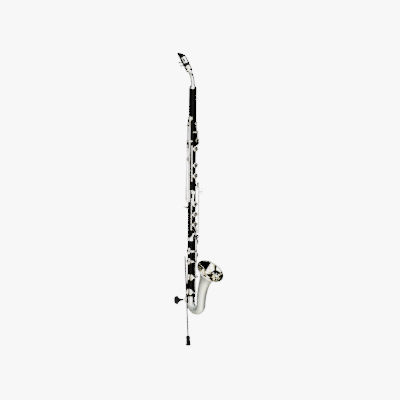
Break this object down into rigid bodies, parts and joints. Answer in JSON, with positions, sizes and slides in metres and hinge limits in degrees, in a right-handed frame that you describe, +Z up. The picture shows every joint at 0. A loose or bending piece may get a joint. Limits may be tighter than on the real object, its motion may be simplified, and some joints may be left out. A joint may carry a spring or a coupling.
{
  "type": "alto clarinet",
  "caption": "Alto clarinet with a black body, silver-plated keys, a bent neck, an upturned metal bell and a floor peg.",
  "frame": {"origin": "middle of the floor peg's rubber tip, where it meets the floor", "axes": "+Z up along the body, -Y the front, where the bell opens, +Y towards the player, +X the player's left"},
  "size_m": [0.0956, 0.1953, 0.9657],
  "materials": {
    "black_wood": "oiled, satin",
    "silver_plate": "polished silver plate",
    "key_plate": "polished silver plate",
    "bell_metal": "polished silver plate, softly brushed outside",
    "steel": "ground",
    "peg_steel": "dull",
    "cork": "matt",
    "ebonite": "polished hard rubber",
    "cane": "bare cane",
    "pad_skin": "thin skin over felt",
    "rubber": "moulded",
    "black_plastic": "moulded"
  },
  "bodies": {
    "body": {"upper_joint": "black_wood", "lower_joint": "black_wood", "body_rings": "silver_plate", "tenon_corks": "cork", "key_posts": "silver_plate", "hinge_rods": "steel", "bell": "bell_metal", "bell_rim": "bell_metal", "bell_collar": "silver_plate", "peg_bracket": "silver_plate", "thumb_rest": "silver_plate", "strap_ring": "silver_plate"},
    "neck": {"neck_tube": "silver_plate", "neck_collar": "silver_plate", "neck_cork": "cork", "neck_receiver": "silver_plate"},
    "mouthpiece_set": {"mouthpiece": "ebonite", "mouthpiece_cork": "cork", "reed": "cane", "ligature": "silver_plate"},
    "ligature_screw_1": {"ligature_screw_lower": "silver_plate"},
    "ligature_screw_2": {"ligature_screw_upper": "silver_plate"},
    "peg": {"peg_rod": "peg_steel", "peg_foot": "rubber"},
    "clamp": {"clamp_screw": "steel", "clamp_knob": "black_plastic"},
    "left_first_key": {"left_first_key": "key_plate", "left_first_pad": "pad_skin"},
    "left_second_key": {"left_second_key": "key_plate", "left_second_pad": "pad_skin"},
    "left_third_key": {"left_third_key": "key_plate", "left_third_pad": "pad_skin"},
    "right_first_key": {"right_first_key": "key_plate", "right_first_pad": "pad_skin"},
    "right_second_key": {"right_second_key": "key_plate", "right_second_pad": "pad_skin"},
    "right_third_key": {"right_third_key": "key_plate", "right_third_pad": "pad_skin"},
    "thumb_key": {"thumb_key": "key_plate", "thumb_pad": "pad_skin"},
    "low_e_key": {"low_e_key": "key_plate", "low_e_pad": "pad_skin"},
    "low_f_key": {"low_f_key": "key_plate", "low_f_pad": "pad_skin"},
    "low_f_sharp_key": {"low_f_sharp_key": "key_plate", "low_f_sharp_pad": "pad_skin"},
    "low_g_sharp_key": {"low_g_sharp_key": "key_plate", "low_g_sharp_pad": "pad_skin"},
    "throat_g_sharp_key": {"throat_g_sharp_key": "key_plate", "throat_g_sharp_pad": "pad_skin"},
    "left_e_lever": {"left_e_lever": "key_plate"},
    "left_f_lever": {"left_f_lever": "key_plate"},
    "register_key": {"register_key": "key_plate", "register_pad": "pad_skin"},
    "upper_trill_key": {"upper_trill_key": "key_plate", "upper_trill_pad": "pad_skin"},
    "lower_trill_key": {"lower_trill_key": "key_plate", "lower_trill_pad": "pad_skin"},
    "throat_a_key": {"throat_a_key": "key_plate", "throat_a_pad": "pad_skin"}
  },
  "joints": [
    {"name": "neck_swivel", "type": "hinge", "parent": "body", "child": "neck", "pos_m": [0, -0.0093, 0.8525], "axis": [0, 0, 1], "range_deg": [-25, 25]},
    {"name": "mouthpiece_turn", "type": "hinge", "parent": "neck", "child": "mouthpiece_set", "pos_m": [0, 0.01503, 0.9187], "axis": [0, 0.6018, 0.7986], "range_deg": [-15, 15]},
    {"name": "ligature_screw_1_turn", "type": "hinge", "parent": "mouthpiece_set", "child": "ligature_screw_1", "pos_m": [0, 0.03558, 0.92288], "axis": [1, 0, 0], "range_deg": [-180, 180]},
    {"name": "ligature_screw_2_turn", "type": "hinge", "parent": "mouthpiece_set", "child": "ligature_screw_2", "pos_m": [0, 0.04316, 0.93294], "axis": [1, 0, 0], "range_deg": [-180, 180]},
    {"name": "peg_slide", "type": "slide", "parent": "body", "child": "peg", "axis": [0, 0.0645, 0.9979], "range_m": [0, 0.06]},
    {"name": "clamp_turn", "type": "hinge", "parent": "body", "child": "clamp", "pos_m": [0, 0.01007, 0.15568], "axis": [-0.766, 0.6414, -0.0415], "range_deg": [-180, 180]},
    {"name": "left_first_hinge", "type": "hinge", "parent": "body", "child": "left_first_key", "pos_m": [-0.0128, -0.02124, 0.6455], "axis": [0, 0, 1], "range_deg": [0, 12.5], "stiffness_Nm_per_rad": 0.02, "springref_deg": -8.59},
    {"name": "left_second_hinge", "type": "hinge", "parent": "body", "child": "left_second_key", "pos_m": [-0.0128, -0.02124, 0.6065], "axis": [0, 0, 1], "range_deg": [0, 12.5], "stiffness_Nm_per_rad": 0.02, "springref_deg": -8.59},
    {"name": "left_third_hinge", "type": "hinge", "parent": "body", "child": "left_third_key", "pos_m": [-0.0128, -0.02124, 0.5735], "axis": [0, 0, 1], "range_deg": [0, 12.5], "stiffness_Nm_per_rad": 0.02, "springref_deg": -8.59},
    {"name": "right_first_hinge", "type": "hinge", "parent": "body", "child": "right_first_key", "pos_m": [-0.0128, -0.02124, 0.48], "axis": [0, 0, 1], "range_deg": [0, 12.5], "stiffness_Nm_per_rad": 0.02, "springref_deg": -8.59},
    {"name": "right_second_hinge", "type": "hinge", "parent": "body", "child": "right_second_key", "pos_m": [-0.0128, -0.02124, 0.4465], "axis": [0, 0, 1], "range_deg": [0, 12.5], "stiffness_Nm_per_rad": 0.02, "springref_deg": -8.59},
    {"name": "right_third_hinge", "type": "hinge", "parent": "body", "child": "right_third_key", "pos_m": [-0.0128, -0.02124, 0.414], "axis": [0, 0, 1], "range_deg": [0, 12.5], "stiffness_Nm_per_rad": 0.02, "springref_deg": -8.59},
    {"name": "thumb_hinge", "type": "hinge", "parent": "body", "child": "thumb_key", "pos_m": [0.01237, 0.00307, 0.6235], "axis": [0, 0, 1], "range_deg": [0, 12], "stiffness_Nm_per_rad": 0.02, "springref_deg": -8.59},
    {"name": "low_e_hinge", "type": "hinge", "parent": "body", "child": "low_e_key", "pos_m": [0.00423, -0.02628, 0.2925], "axis": [0, 0, -1], "range_deg": [0, 10.5], "stiffness_Nm_per_rad": 0.02, "springref_deg": -8.59},
    {"name": "low_f_hinge", "type": "hinge", "parent": "body", "child": "low_f_key", "pos_m": [0.01645, -0.01528, 0.315], "axis": [0, 0, -1], "range_deg": [0, 10.2], "stiffness_Nm_per_rad": 0.02, "springref_deg": -8.59},
    {"name": "low_f_sharp_hinge", "type": "hinge", "parent": "body", "child": "low_f_sharp_key", "pos_m": [0.01171, -0.0223, 0.30225], "axis": [0, 0, 1], "range_deg": [0, 8.5], "stiffness_Nm_per_rad": 0.02, "springref_deg": -8.59},
    {"name": "low_g_sharp_hinge", "type": "hinge", "parent": "body", "child": "low_g_sharp_key", "pos_m": [0.01171, -0.0223, 0.34375], "axis": [0, 0, 1], "range_deg": [0, 8.5], "stiffness_Nm_per_rad": 0.02, "springref_deg": -8.59},
    {"name": "throat_g_sharp_hinge", "type": "hinge", "parent": "body", "child": "throat_g_sharp_key", "pos_m": [0.01341, -0.02055, 0.693], "axis": [0, 0, -1], "range_deg": [0, 15.7], "stiffness_Nm_per_rad": 0.02, "springref_deg": -8.59},
    {"name": "left_e_lever_hinge", "type": "hinge", "parent": "body", "child": "left_e_lever", "pos_m": [0.01385, -0.02703, 0.46], "axis": [0, 0, 1], "range_deg": [0, 10.5]},
    {"name": "left_f_lever_hinge", "type": "hinge", "parent": "body", "child": "left_f_lever", "pos_m": [0.0189, -0.00731, 0.466], "axis": [0, 0, 1], "range_deg": [0, 10.2]},
    {"name": "register_pivot", "type": "hinge", "parent": "body", "child": "register_key", "pos_m": [0, 0.0102, 0.733], "axis": [-1, 0, 0], "range_deg": [0, 5.25], "stiffness_Nm_per_rad": 0.4, "springref_deg": -5.73},
    {"name": "upper_trill_pivot", "type": "hinge", "parent": "body", "child": "upper_trill_key", "pos_m": [-0.01645, -0.01528, 0.684], "axis": [0.342, -0.9397, 0], "range_deg": [0, 1.41], "stiffness_Nm_per_rad": 0.4, "springref_deg": -5.73},
    {"name": "lower_trill_pivot", "type": "hinge", "parent": "body", "child": "lower_trill_key", "pos_m": [-0.01723, -0.00626, 0.654], "axis": [-0.1736, -0.9848, 0], "range_deg": [0, 1.38], "stiffness_Nm_per_rad": 0.4, "springref_deg": -5.73},
    {"name": "throat_a_pivot", "type": "hinge", "parent": "body", "child": "throat_a_key", "pos_m": [-0.00061, -0.02679, 0.713], "axis": [0.9994, -0.0349, 0], "range_deg": [0, 3.95], "stiffness_Nm_per_rad": 0.4, "springref_deg": -5.73}
  ],
  "couplings": [
    {"joint": "left_e_lever_hinge", "follows": "low_e_hinge", "ratio": 1},
    {"joint": "left_f_lever_hinge", "follows": "low_f_hinge", "ratio": 1}
  ]
}
